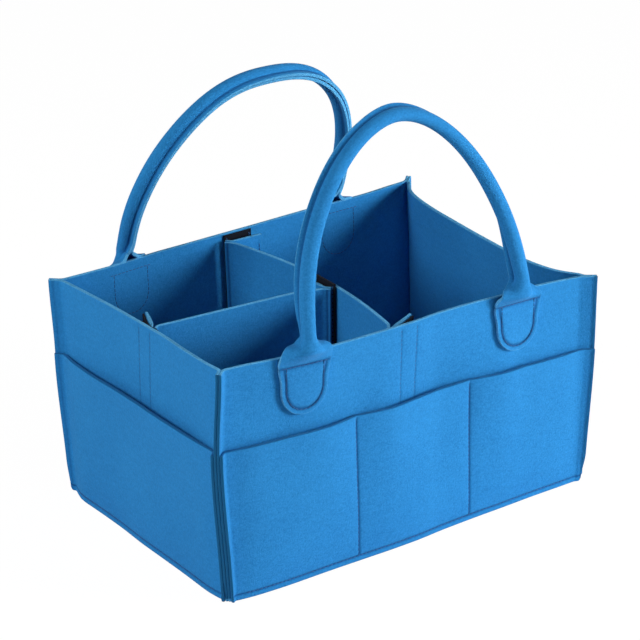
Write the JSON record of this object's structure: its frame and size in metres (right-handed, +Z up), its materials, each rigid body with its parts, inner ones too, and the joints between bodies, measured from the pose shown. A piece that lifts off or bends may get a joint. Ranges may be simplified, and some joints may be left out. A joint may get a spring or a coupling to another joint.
{
  "type": "felt diaper caddy",
  "caption": "Open felt diaper caddy with outer pockets, two wrapped arch handles and two lift-out dividers held by hook and loop strips.",
  "frame": {"origin": "middle of the caddy's footprint, on the surface that it stands on", "axes": "+X along the long front side to the right as seen from the front, +Y from the front side to the back side, +Z up"},
  "size_m": [0.35, 0.2416, 0.3372],
  "materials": {
    "body_felt": "bright blue pressed felt, matt and slightly fuzzy",
    "divider_felt": "bright blue pressed felt, matt",
    "cord_core": "undyed cord",
    "hook_tape": "black hook strip",
    "loop_tape": "black loop strip, short nap"
  },
  "bodies": {
    "caddy": {"base_panel": "body_felt", "front_wall": "body_felt", "back_wall": "body_felt", "left_wall": "body_felt", "right_wall": "body_felt", "front_pocket_panel": "body_felt", "back_pocket_panel": "body_felt", "left_pocket_panel": "body_felt", "right_pocket_panel": "body_felt", "front_loop_strip": "loop_tape", "back_loop_strip": "loop_tape", "left_loop_strip": "loop_tape", "front_handle_left_patch": "body_felt", "front_handle_right_patch": "body_felt", "back_handle_left_patch": "body_felt", "back_handle_right_patch": "body_felt"},
    "front_handle": {"front_handle_sleeve": "body_felt", "front_handle_core": "cord_core"},
    "back_handle": {"back_handle_sleeve": "body_felt", "back_handle_core": "cord_core"},
    "cross_divider": {"cross_divider_panel": "divider_felt", "cross_divider_back_flange": "divider_felt", "cross_divider_front_flange": "divider_felt", "cross_divider_back_hook_strip": "hook_tape", "cross_divider_front_hook_strip": "hook_tape", "cross_divider_loop_strip": "loop_tape"},
    "long_divider": {"long_divider_panel": "divider_felt", "long_divider_left_flange": "divider_felt", "long_divider_right_flange": "divider_felt", "long_divider_left_hook_strip": "hook_tape", "long_divider_right_hook_strip": "hook_tape"}
  },
  "joints": [
    {"name": "front_handle_swing", "type": "hinge", "parent": "caddy", "child": "front_handle", "pos_m": [0, -0.10887, 0.1825], "axis": [-1, 0, 0], "range_deg": [-98, 33]},
    {"name": "back_handle_swing", "type": "hinge", "parent": "caddy", "child": "back_handle", "pos_m": [-0.009, 0.10887, 0.1825], "axis": [1, 0, 0], "range_deg": [-102, 31]},
    {"name": "cross_divider_lift", "type": "slide", "parent": "caddy", "child": "cross_divider", "axis": [0, 0, 1], "range_m": [0, 0.09]},
    {"name": "long_divider_lift", "type": "slide", "parent": "caddy", "child": "long_divider", "axis": [0, 0, 1], "range_m": [0, 0.09]}
  ]
}
